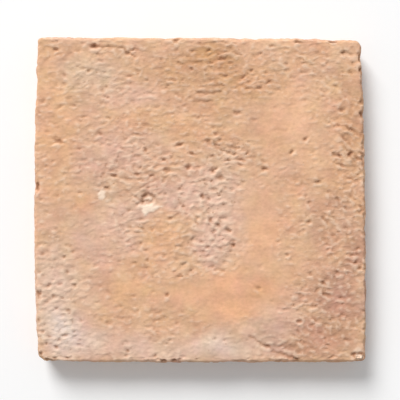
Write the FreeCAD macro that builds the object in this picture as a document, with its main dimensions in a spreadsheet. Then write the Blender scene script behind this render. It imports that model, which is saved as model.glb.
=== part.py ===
import FreeCAD, Part
import math
import os
import Sketcher
from collections import namedtuple

# Handmade terracotta floor tile: one slab of clay, struck in a frame, trimmed by hand and fired.
# Millimetres. The origin is the middle of the bed face, and +Z goes up through the walking face.
# Seen from above, +X is right, +Y is back, -Y is front.

SIZES = {
    # overall size of the walking face, from crown to crown of its sides, and the slab's height
    "tile_width": 202.0,
    "tile_depth": 198.0,
    "tile_thickness": 20.0,
    # each side is a shallow bow: how far it falls back at its farther corner
    "right_bow": 3.0,
    "back_bow": 1.8,
    "left_bow": 2.2,
    "front_bow": 0.8,
    # the crown, where each side stands out most, measured along it from the tile's centre line
    "right_crown": -50.0,
    "back_crown": -60.0,
    "left_crown": -4.0,
    "front_crown": 6.0,
    # plan corners, each worn by its own amount
    "back_right_corner": 6.0,
    "back_left_corner": 3.2,
    "front_left_corner": 6.5,
    "front_right_corner": 3.5,
    # the sides lean in towards the bed, in degrees, so that joints close up at the walking face
    "undercut_angle": 2.0,
    # worn edge of the walking face, and the lightly rubbed edge of the bed
    "face_arris": 2.4,
    "bed_arris": 1.2,
    # the crater that a lime grain burst out of the walking face, placed from the tile's centre
    "lime_pop_x": -31.0,
    "lime_pop_y": 0.4,
    "lime_pop_length": 8.5,
    "lime_pop_width": 7.5,
    "lime_pop_depth": 1.3,
    # shell-shaped chips off two corners of the walking face, placed from the tile's edges
    "front_left_chip_inset": 1.0,
    "front_left_chip_length": 13.0,
    "front_left_chip_width": 11.0,
    "front_left_chip_depth": 4.0,
    "front_right_chip_inset": 4.2,
    "front_right_chip_length": 6.0,
    "front_right_chip_width": 5.4,
    "front_right_chip_depth": 2.0,
    # the deepest tears that striking the clay left in the middle of the walking face: a steep wall at
    # the back, a long slope up to the front, and a floor line that is shorter than the mouth
    "tear_length": 5.6,
    "tear_width": 2.8,
    "tear_depth": 1.0,
    "tear_floor": 2.6,
    "tear_wall": 0.7,
}
# where each of those tears lies from the tile's centre, and its turn from +X in degrees
TEARS = {
    "tear_1": (9.5, 33.0, -27.0),
    "tear_2": (19.5, 28.6, -28.0),
    "tear_3": (-6.9, 19.9, 4.0),
    "tear_4": (7.1, 17.1, -10.0),
    "tear_5": (-19.8, 18.0, -5.0),
    "tear_6": (7.4, -5.5, -15.0),
    "tear_7": (-1.6, -12.5, 75.0),
    "tear_8": (14.0, -11.7, -5.0),
    "tear_9": (17.2, -18.3, -35.0),
    "tear_10": (-4.0, -24.0, 70.0),
    "tear_11": (19.1, -27.0, -12.0),
    "tear_12": (-12.5, -28.4, -15.0),
    "tear_13": (-9.4, -39.0, 23.0),
}
NODE = "tile"
# the sides in the order of the outline, each with the way it faces, in degrees from +X
SIDES = {"right": 0, "back": 90, "left": 180, "front": 270}
# the corner that follows each side, going round anticlockwise
CORNERS = ["back_right", "back_left", "front_left", "front_right"]
LEVEL_TOLERANCE = 1e-4
# each round brings a corner's touch points about a hundred times closer
CORNER_ROUNDS = 8

# the round hollows in the walking face, each with the expressions of where its middle is
HOLLOWS = {
    "lime_pop": ("sizes.lime_pop_x", "sizes.lime_pop_y"),
    "front_left_chip": (
        "-sizes.tile_width / 2 + sizes.front_left_chip_inset",
        "-sizes.tile_depth / 2 + sizes.front_left_chip_inset",
    ),
    "front_right_chip": (
        "sizes.tile_width / 2 - sizes.front_right_chip_inset",
        "-sizes.tile_depth / 2 + sizes.front_right_chip_inset",
    ),
}
# a tear's wedge is drawn from its mouth down: the sheet's expression for each of its limits, where X runs
# along the tear, Y down into the clay and Z back towards the steep wall
TEAR_LIMITS = {
    "Xmin": "-sizes.tear_length / 2",
    "Xmax": "sizes.tear_length / 2",
    "Ymin": "0",
    "Ymax": "sizes.tear_depth",
    "Zmin": "-sizes.tear_width / 2",
    "Zmax": "sizes.tear_width / 2",
    "X2min": "-sizes.tear_floor / 2",
    "X2max": "sizes.tear_floor / 2",
    "Z2min": "sizes.tear_width / 2 - sizes.tear_wall",
    "Z2max": "sizes.tear_width / 2 - sizes.tear_wall",
}
# turn about X that sends a wedge's Y down and its Z back
TEAR_ROLL = -90

# a side's parabola: its crown point, the way it faces, the way it runs and its focal length
SideCurve = namedtuple("SideCurve", "crown out along focal")


def fill_sheet(doc):
    sheet = doc.addObject("Spreadsheet::Sheet", "sizes")
    cells = dict(SIZES)
    for tear, (x_place, y_place, turn) in TEARS.items():
        cells.update({f"{tear}_x": x_place, f"{tear}_y": y_place, f"{tear}_turn": turn})
    for row, (name, value) in enumerate(cells.items(), start=1):
        sheet.set(f"A{row}", name)
        sheet.set(f"B{row}", str(value))
        sheet.setAlias(f"B{row}", name)
    doc.recompute()
    return sheet


def along_x(side):
    """True where a side runs along X, as the back and the front do."""
    return side in ("back", "front")


def reach_and_span(side):
    """The names of the size that a side stands out to, and of the size that it spans."""
    return ("tile_depth", "tile_width") if along_x(side) else ("tile_width", "tile_depth")


def side_curve(sheet, side):
    reach, span = (getattr(sheet, name) for name in reach_and_span(side))
    crown = getattr(sheet, f"{side}_crown")
    facing = math.radians(SIDES[side])
    out = FreeCAD.Vector(math.cos(facing), math.sin(facing), 0)
    shift = FreeCAD.Vector(crown, 0, 0) if along_x(side) else FreeCAD.Vector(0, crown, 0)
    focal = (span / 2 + abs(crown)) ** 2 / (4 * getattr(sheet, f"{side}_bow"))
    return SideCurve(out * (reach / 2) + shift, out, FreeCAD.Vector(-out.y, out.x, 0), focal)


def normal_at(curve, run):
    """The way a side faces at the distance run along it from its crown."""
    return (curve.out + curve.along * (run / (2 * curve.focal))).normalize()


def inside_at(curve, run, depth):
    """The point that lies depth inside a side, abreast of run."""
    point = curve.crown + curve.along * run - curve.out * (run**2 / (4 * curve.focal))
    return point - normal_at(curve, run) * depth


def corner_runs(first, second, radius):
    """Where a corner's arc leaves the first side and joins the second, as runs from their crowns."""
    leave, join = 0.0, 0.0
    for _ in range(CORNER_ROUNDS):
        centre = inside_at(second, join, radius)
        leave = (centre + normal_at(first, leave) * radius - first.crown).dot(first.along)
        centre = inside_at(first, leave, radius)
        join = (centre + normal_at(second, join) * radius - second.crown).dot(second.along)
    return leave, join


def outline_pieces(sheet):
    """The outline's four sides, and the four corners that follow them."""
    up = FreeCAD.Vector(0, 0, 1)
    curves = [side_curve(sheet, side) for side in SIDES]
    radii = [getattr(sheet, f"{corner}_corner") for corner in CORNERS]
    runs = [corner_runs(curves[i - 1], curves[i], radii[i - 1]) for i in range(len(curves))]
    sides = []
    corners = []
    for i, curve in enumerate(curves):
        follower = (i + 1) % len(curves)
        leave, join = runs[follower]
        parabola = Part.Parabola(curve.crown - curve.out * curve.focal, curve.crown, up)
        sides.append(Part.ArcOfParabola(parabola, -leave, -runs[i][1]))
        first = normal_at(curve, leave)
        last = normal_at(curves[follower], join)
        circle = Part.Circle(inside_at(curve, leave, radii[i]), up, radii[i])
        corners.append(Part.ArcOfCircle(circle, math.atan2(first.y, first.x), math.atan2(last.y, last.x)))
    return sides, corners


def constrain(sketch, name, expression, *constraint):
    """Adds a named constraint whose value the sheet drives."""
    sketch.addConstraint(Sketcher.Constraint(*constraint))
    sketch.renameConstraint(sketch.ConstraintCount - 1, name)
    sketch.setExpression(f"Constraints.{name}", expression)


def constrain_side(sketch, side, number):
    """Ties a side's crown and focus to the sheet, with its axis square to the tile."""
    curve = sketch.Geometry[number]
    sketch.exposeInternalGeometry(number)
    axis = sketch.GeometryCount - 1
    sketch.addConstraint(Sketcher.Constraint("Vertical" if along_x(side) else "Horizontal", axis))
    reach, span = reach_and_span(side)
    focal = f"(sizes.{span} / 2 + abs(sizes.{side}_crown))^2 / (4 * sizes.{side}_bow)"
    constrain(sketch, f"{side}_focal", focal, "Distance", axis, curve.Focal)
    sign = "-" if side in ("left", "front") else ""
    x_value, y_value = f"{sign}sizes.{reach} / 2", f"sizes.{side}_crown"
    if along_x(side):
        x_value, y_value = y_value, x_value
    constrain(sketch, f"{side}_x", x_value, "DistanceX", -1, 1, number, 3, curve.Location.x)
    constrain(sketch, f"{side}_y", y_value, "DistanceY", -1, 1, number, 3, curve.Location.y)


def draw_outline(body, sheet):
    """The walking face's edge: four bowed sides and the rounded corners between them."""
    sketch = body.newObject("Sketcher::SketchObject", "outline")
    plane = next(f for f in body.Origin.OriginFeatures if f.Role == "XY_Plane")
    sketch.AttachmentSupport = (plane, "")
    sketch.MapMode = "FlatFace"
    sketch.setExpression("AttachmentOffset.Base.z", "sizes.tile_thickness")
    sides, corners = outline_pieces(sheet)
    side_numbers = [sketch.addGeometry(piece, False) for piece in sides]
    corner_numbers = [sketch.addGeometry(piece, False) for piece in corners]
    for i, number in enumerate(corner_numbers):
        following = side_numbers[(i + 1) % len(side_numbers)]
        sketch.addConstraint(Sketcher.Constraint("Tangent", side_numbers[i], 1, number, 1))
        sketch.addConstraint(Sketcher.Constraint("Tangent", number, 2, following, 2))
        value = f"sizes.{CORNERS[i]}_corner"
        constrain(sketch, f"{CORNERS[i]}_radius", value, "Radius", number, corners[i].Radius)
    for side, number in zip(SIDES, side_numbers):
        constrain_side(sketch, side, number)
    return sketch


def extrude_slab(body, outline):
    """The slab, drawn down from the walking face with its sides leaning in."""
    slab = body.newObject("PartDesign::Pad", "slab")
    slab.Profile = outline
    slab.Reversed = True
    slab.setExpression("Length", "sizes.tile_thickness")
    slab.setExpression("TaperAngle", "-sizes.undercut_angle")
    return slab


def edges_at(feature, level):
    """Names of the edges that lie flat at one height."""
    names = []
    for number, edge in enumerate(feature.Shape.Edges, start=1):
        box = edge.BoundBox
        if abs(box.ZMin - level) < LEVEL_TOLERANCE and abs(box.ZMax - level) < LEVEL_TOLERANCE:
            names.append(f"Edge{number}")
    return names


def round_edge(body, base, name, level):
    rounded = body.newObject("PartDesign::Fillet", name + "_round")
    rounded.Base = (base, edges_at(base, level))
    rounded.setExpression("Radius", f"sizes.{name}")
    return rounded


def place_on_face(body, feature, x_place, y_place):
    """Puts a feature's middle on the walking face, at the places that two expressions give."""
    plane = next(f for f in body.Origin.OriginFeatures if f.Role == "XY_Plane")
    feature.AttachmentSupport = (plane, "")
    feature.MapMode = "FlatFace"
    feature.setExpression("AttachmentOffset.Base.x", x_place)
    feature.setExpression("AttachmentOffset.Base.y", y_place)
    feature.setExpression("AttachmentOffset.Base.z", "sizes.tile_thickness")


def hollow_out(body, name):
    """Half an ellipsoid taken out of the walking face, as a burst grain or a knock leaves it."""
    hollow = body.newObject("PartDesign::SubtractiveEllipsoid", name)
    place_on_face(body, hollow, *HOLLOWS[name])
    hollow.setExpression("Radius1", f"sizes.{name}_depth")
    hollow.setExpression("Radius2", f"sizes.{name}_length / 2")
    hollow.setExpression("Radius3", f"sizes.{name}_width / 2")


def tear_out(body, name):
    """A wedge taken out of the walking face, as the striking board drags a lump out of the clay."""
    tear = body.newObject("PartDesign::SubtractiveWedge", name)
    place_on_face(body, tear, f"sizes.{name}_x", f"sizes.{name}_y")
    tear.setExpression("AttachmentOffset.Rotation.Yaw", f"sizes.{name}_turn * 1 deg")
    tear.setExpression("AttachmentOffset.Rotation.Roll", f"{TEAR_ROLL} deg")
    for limit, expression in TEAR_LIMITS.items():
        tear.setExpression(limit, expression)


def build_tile(doc, sheet):
    body = doc.addObject("PartDesign::Body", NODE)
    body.Label = NODE
    slab = extrude_slab(body, draw_outline(body, sheet))
    doc.recompute()
    face_round = round_edge(body, slab, "face_arris", sheet.tile_thickness)
    doc.recompute()
    round_edge(body, face_round, "bed_arris", 0.0)
    doc.recompute()
    for cut, names in ((hollow_out, HOLLOWS), (tear_out, TEARS)):
        for name in names:
            whole = body.Shape.Volume
            cut(body, name)
            doc.recompute()
            if body.Shape.Volume >= whole:
                raise RuntimeError(f"{name} took nothing off the tile")
    return body


def check(doc, pieces):
    for item in doc.Objects:
        if "Invalid" in item.State or "Error" in item.State:
            raise RuntimeError(f"{item.Name} failed: {item.State}")
    for piece in pieces:
        if piece.Shape.isNull() or not piece.Shape.isValid():
            raise RuntimeError(f"{piece.Label} has no valid shape")


def main():
    doc = FreeCAD.newDocument("terracotta_floor_tile")
    sheet = fill_sheet(doc)
    pieces = [build_tile(doc, sheet)]
    check(doc, pieces)
    os.makedirs("parts", exist_ok=True)
    for piece in pieces:
        piece.Shape.exportStep(f"parts/{piece.Label}.step")
        box = piece.Shape.optimalBoundingBox(False, False)
        print(f"{piece.Label}: {box.XLength:.2f} x {box.YLength:.2f} x {box.ZLength:.2f} mm,", end=" ")
        print(f"z from {box.ZMin:.3f}, {piece.Shape.Volume / 1000:.1f} cubic centimetres")


main()
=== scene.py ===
import math

import bpy
import numpy as np
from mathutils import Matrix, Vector
from mathutils.bvhtree import BVHTree


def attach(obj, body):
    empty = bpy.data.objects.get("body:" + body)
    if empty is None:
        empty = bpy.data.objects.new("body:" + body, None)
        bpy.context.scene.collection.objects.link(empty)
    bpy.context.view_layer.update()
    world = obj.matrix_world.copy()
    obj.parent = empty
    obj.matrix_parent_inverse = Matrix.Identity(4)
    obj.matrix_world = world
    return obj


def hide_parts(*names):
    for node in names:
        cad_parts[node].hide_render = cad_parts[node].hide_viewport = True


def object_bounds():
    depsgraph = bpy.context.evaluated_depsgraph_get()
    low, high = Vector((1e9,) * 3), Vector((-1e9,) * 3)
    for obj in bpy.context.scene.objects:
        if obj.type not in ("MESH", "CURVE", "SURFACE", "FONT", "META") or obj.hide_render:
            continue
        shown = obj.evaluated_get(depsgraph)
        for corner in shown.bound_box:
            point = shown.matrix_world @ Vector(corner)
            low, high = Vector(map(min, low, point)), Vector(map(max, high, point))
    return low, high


# Handmade terracotta floor tile, laid on its bed and seen from straight above, back edge up.
# Shapes are worked out in mm and turned into metres where a mesh, light or camera is made.

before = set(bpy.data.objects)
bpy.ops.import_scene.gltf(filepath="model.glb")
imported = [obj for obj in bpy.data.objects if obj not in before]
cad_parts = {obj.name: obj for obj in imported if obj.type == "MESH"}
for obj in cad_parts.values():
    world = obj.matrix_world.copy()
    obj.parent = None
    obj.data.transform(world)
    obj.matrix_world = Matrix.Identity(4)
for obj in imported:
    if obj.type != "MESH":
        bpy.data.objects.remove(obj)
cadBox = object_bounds()
mm = 0.001
boxLow, boxHigh = (np.array(corner) / mm for corner in cadBox)
tileTop = boxHigh[2]
scene = bpy.context.scene
print("frame loaded, tile", (boxHigh - boxLow).round(1), "mm")


# small tools

def hexColour(code):
    shades = [int(code[i:i + 2], 16) / 255 for i in (1, 3, 5)]
    linear = [s / 12.92 if s <= 0.04045 else ((s + 0.055) / 1.055) ** 2.4 for s in shades]
    return (*linear, 1)


def addNode(tree, kind, settings, links=()):
    # a setting is a socket by name or number, or a property; gives back the outputs
    node = tree.nodes.new("ShaderNode" + kind)
    for name, value in settings.items():
        if isinstance(name, int) or name in node.inputs:
            node.inputs[name].default_value = value
        else:
            setattr(node, name, value)
    for name, socket in dict(links).items():
        tree.links.new(socket, node.inputs[name])
    return node.outputs


def emptyTree(owner):
    owner.use_nodes = True
    owner.node_tree.nodes.clear()
    return owner.node_tree


def placed(name, data):
    thing = bpy.data.objects.new(name, data)
    scene.collection.objects.link(thing)
    return thing


def smoothStep(low, high, value):
    t = np.clip((value - low) / (high - low), 0, 1)
    return t * t * (3 - 2 * t)


def turned(x, y, degrees):
    c, s = math.cos(math.radians(degrees)), math.sin(math.radians(degrees))
    return x * c + y * s, y * c - x * s


def clayNoise(x, y, long, high, seed, around=None):
    # gradient noise in blobs of long by high mm; around makes it a loop that long
    turns = np.random.RandomState(seed).uniform(0, 2 * np.pi, (1024, 256))  # blobs before it repeats
    cells = max(1, round(around / long)) if around else len(turns)
    u, v = (x * cells / around if around else x / long), y / high
    i, j = np.floor(u).astype(int), np.floor(v).astype(int)
    fu, fv = u - i, v - j
    su, sv = smoothStep(0, 1, fu), smoothStep(0, 1, fv)

    def pull(di, dj):
        turn = turns[(i + di) % cells, (j + dj) % turns.shape[1]]
        return np.cos(turn) * (fu - di) + np.sin(turn) * (fv - dj)

    low = pull(0, 0) * (1 - su) + pull(1, 0) * su
    top = pull(0, 1) * (1 - su) + pull(1, 1) * su
    return 1.5 * (low * (1 - sv) + top * sv)  # stretched to about -1 to 1


def swayed(x, y, sways, seed):
    # points pushed about by noise; a sway is a length, a height and pushes in x and y, in mm
    sx, sy = x, y
    for n, (long, high, pushX, pushY) in enumerate(sways):
        sx = sx + pushX * clayNoise(x, y, long, high, seed + n)
        sy = sy + pushY * clayNoise(x, y, long, high, seed + len(sways) + n)
    return sx, sy


# the walking face as maps: where the clay is rough, stained or torn, how deep in mm, and where it gets
# painted shade and painted highlight

face = {
    "pitch": 0.4,  # mm between the maps' points
    "seed": 11,
    "patchSway": ((24, 20, 6, 6), (8, 6, 3, 3)),  # how ragged the patches below are
    "patchFade": (1.5, 0.4),  # where they fade out and are full, as shares of their size
    "haze": 4,  # mm over which the salt bloom fades out
    "noise": {  # strength in mm or as a share, length and height in mm
        "swell": (0.16, 70, 49),  # slow waves left by the striking board
        "uneven": (0.3, 16, 11),  # how the roughness varies by itself
        "grain": (0.46, 5, 2.4),  # dragged flakes in the roughest clay
        "smallGrain": (0.345, 2.5, 1.44),
        "grainLean": (0.8, 5, 2.4),  # how far a flake's crest hangs over to the front
        "crease": (4, 6.5, 3),  # between flakes; here how sharp
        "creaseBreak": (1, 9, 7),
        "gravel": (0.44, 3.48, 2.61),  # loose crumbs in the torn middle
        "streak": (0.11, 18, 1.9),  # lines dragged by the striking board
        "fineStreak": (0.066, 9, 1.4),
        "streakSway": (1.5, 50, 30),
        "ragged": (0.8, 2.4, 2),  # the edge of a mark
        "limeBite": (0.7, 1.7, 1.4),  # out of the edge of a flake of lime
        "limeRough": (0.14, 2.4, 1.8),
    },
    "flakeSway": ((15, 11, 2.2, 1.6), (5, 4, 0.9, 0.7)),
    "skin": 0.8,  # mm, mean level of the clay below its highest point
    "plainShare": 0.52,  # how rough the clay is where no patch says otherwise
    "slickShare": 0.1,
    "crease": 0.5,  # mm deep
    "creaseBreak": (-0.1, 0.4),  # the noise between which creases break off
    "slant": -26,  # degrees, lean of the flakes along the right side
    "gravelShare": 0.45,  # crumbs where no patch says otherwise
    "gravelMost": 1.5,  # and in the middle of a patch
    "gravelBroken": 0.5,  # how far crumbs break up the flakes and shorten the tears
    # painted highlight on the crumbs
    "gravelHighlight": 0.25,
    "streakShare": 0.3,  # lines outside the tan clay
    # small tears and raised crumbs, in mm; the higher a power, the more are at the low end
    "tears": 3800,  # tried; the rougher the clay, the more of them stay
    "tearThin": 1.6,  # power
    "tearLong": (1.6, 5.4),
    "tearShort": 1.8,  # power
    "tearLeast": 0.2,  # share of its length that crumbs leave of a tear
    "tearHigh": (0.9, 1.8),
    "tearDeep": (0.15, 0.95),
    "tearShallow": 1.9,  # power
    "tearFaint": 0.3,  # share of its depth in slick clay
    "tearStray": 14,  # degrees from the striking direction
    "lip": 0.35,  # clay pushed up in front of a tear, as a share of its depth
    "crumbs": 1500,
    "crumbWide": (1.1, 2.2),
    "crumbLong": 1.4,  # times its width
    "crumbHigh": (0.04, 0.2),
    "crumbLow": 2,  # power
    # named marks and lime
    "markSteep": 0.4,  # how sheer a pit's back wall is; a tear's is 1
    "markSheer": (0.9, 0.5),  # how much shorter that makes the back and longer the front
    "markReach": 2,  # mm around a mark that it still changes
    "bowlShape": (1.1, 1.4),  # how tight it is, how flat in the middle
    "lipShape": (1.2, 1.7),  # how tight it is, how many half heights in front
    "limeRagged": 1.4,  # as a share of a mark's
    "limeEdge": (-0.5, 0.6),  # mm inside the outline where lime starts and is full
    # painted shade in hollows and marks, painted highlight on crests: mm below or above the clay around,
    # where it starts and is full
    "hollowAround": 2.6,
    "hollowFrom": (0, 1.1),
    "markFrom": (0.2, 1),
    "markShade": 0.9,
    "crestAround": 2.2,
    "crestFrom": (0.03, 0.32),
    "tanHighlight": 0.55,  # share of the crests' painted highlight in tan clay
}
# soft patches: x, y, half length, half height, turn in degrees, share
relief = {
    "rough": [
        (4, 4, 22, 34, -20, 0.9), (9, -26, 13, 20, 0, 0.95), (-6, -40, 17, 5, 12, 0.8),
        (14, 30, 17, 12, -25, 0.9), (-38, 16, 34, 18, 0, 0.75), (-41, -20, 12, 14, 0, 0.7),
        (-60, 76, 30, 16, 0, 0.4), (10, 80, 50, 16, 0, 0.5), (90, 20, 13, 56, 0, 0.9),
        (86, -40, 17, 30, 0, 0.95), (74, -74, 27, 23, 0, 0.8), (74, 84, 28, 13, 0, 0.5),
        (-87, -70, 14, 30, 0, 0.75), (66, -91, 34, 7, 0, 0.6), (-30, 46, 30, 9, 0, 0.4),
    ],
    "slick": [
        (24, -58, 26, 14, 0, 1), (37, -42, 13, 12, 0, 1), (37, -12, 10, 26, 0, 1),
        (48, 44, 18, 20, 0, 0.55), (-10, -54, 18, 9, 0, 0.9), (30, -76, 22, 6, 0, 0.5),
        (12, -91, 30, 6, 0, 0.4), (-72, -8, 14, 20, 0, 0.4), (-44, -56, 18, 8, 0, 0.5),
    ],
    "slant": [(90, 6, 17, 74, 0, 1), (12, 32, 16, 11, 0, 0.8), (80, -64, 30, 36, 0, 0.8)],
    "gravel": [
        (7, -10, 19, 32, -10, 1), (-87, -68, 14, 32, 0, 0.6), (86, -50, 16, 40, 0, 0.3),
        (-6, -40, 17, 5, 12, 0.9), (-42, -18, 12, 16, 0, 0.45),
    ],
}
stains = {
    "peach": [
        (58, 54, 18, 16, 0, 1), (62, 34, 14, 12, 0, 0.7), (35, -12, 10, 26, 0, 0.7),
        (26, -36, 12, 10, 0, 0.7), (-10, -50, 16, 8, 0, 0.8),
    ],
    "ash": [
        (-66, 76, 22, 14, -10, 0.9), (-56, 2, 9, 10, 0, 0.6), (14, 27, 14, 7, 0, 0.4),
        (-84, -18, 12, 12, 0, 0.5), (13, 8, 6, 10, 0, 0.5), (-45, -8, 16, 8, 0, 0.5),
    ],
    "blush": [
        (-42, 62, 20, 8, 0, 0.7), (-50, 28, 26, 18, 0, 0.75), (-8, 6, 34, 13, 0, 1),
        (10, -14, 15, 27, 0, 1), (-58, -22, 20, 16, 0, 0.9), (-35, -6, 14, 8, 0, 0.7),
        (-50, -85, 24, 9, 0, 0.7), (-67, 40, 10, 22, 0, 0.35), (44, -72, 20, 12, 20, 0.8),
    ],
    "straw": [
        (-22, -24, 10, 15, -20, 1), (-42, -56, 19, 9, 10, 1), (-12, -44, 16, 7, 0, 0.5),
        (-24, 46, 28, 7, 0, 0.65), (-88, 40, 10, 16, 0, 1), (-90, 70, 9, 24, 0, 0.7),
        (-84, 12, 10, 14, 0, 0.15),
    ],
    "apricot": [
        (22, -58, 27, 12, 0, 1), (30, -46, 16, 8, 0, 0.6), (-6, -57, 16, 7, 0, 0.7),
        (42, -24, 10, 17, 0, 0.6), (42, 38, 16, 13, 0, 0.2),
    ],
    "tan": [
        (8, 86, 20, 8, 0, 1), (16, 72, 30, 12, 0, 0.62), (-14, 80, 16, 10, 0, 0.6),
        (38, 74, 14, 8, 0, 0.4), (92, 40, 9, 26, 0, 0.65), (12, 40, 12, 8, 0, 0.5),
        (8, 60, 16, 6, 0, 0.5), (84, 10, 12, 16, 0, 0.3), (-36, 80, 12, 12, 0, 0.2),
        (-22, 40, 12, 8, 0, 0.15), (-18, -69, 16, 6, 0, 0.3), (36, -53.5, 6, 5, 0, 0.4),
    ],
    "mauve": [
        (84, -58, 18, 17, 0, 1), (80, -14, 14, 17, 0, 0.42), (56, -88, 25, 8, 0, 1),
        (75, -78, 21, 15, 0, 0.8), (94, -35, 7, 22, 0, 0.9), (90, 66, 10, 15, 0, 0.15),
        (-46, 16, 28, 18, 0, 0.15),
    ],
    "bloom": [
        (-84, -78, 12, 18, 10, 1), (-86, -50, 14, 17, -30, 0.45), (-74, -88, 18, 9, 0, 0.55),
        (12, -88, 34, 6, 0, 0.75), (-30, -93, 32, 6, 0, 0.4), (-88, -38, 12, 9, 0, 0.4),
        (-68, -60, 8, 15, 0, 0.2), (-4, -83, 14, 5, 0, 0.12), (38, -83, 13, 6, 12, 0.3),
    ],
}
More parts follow.
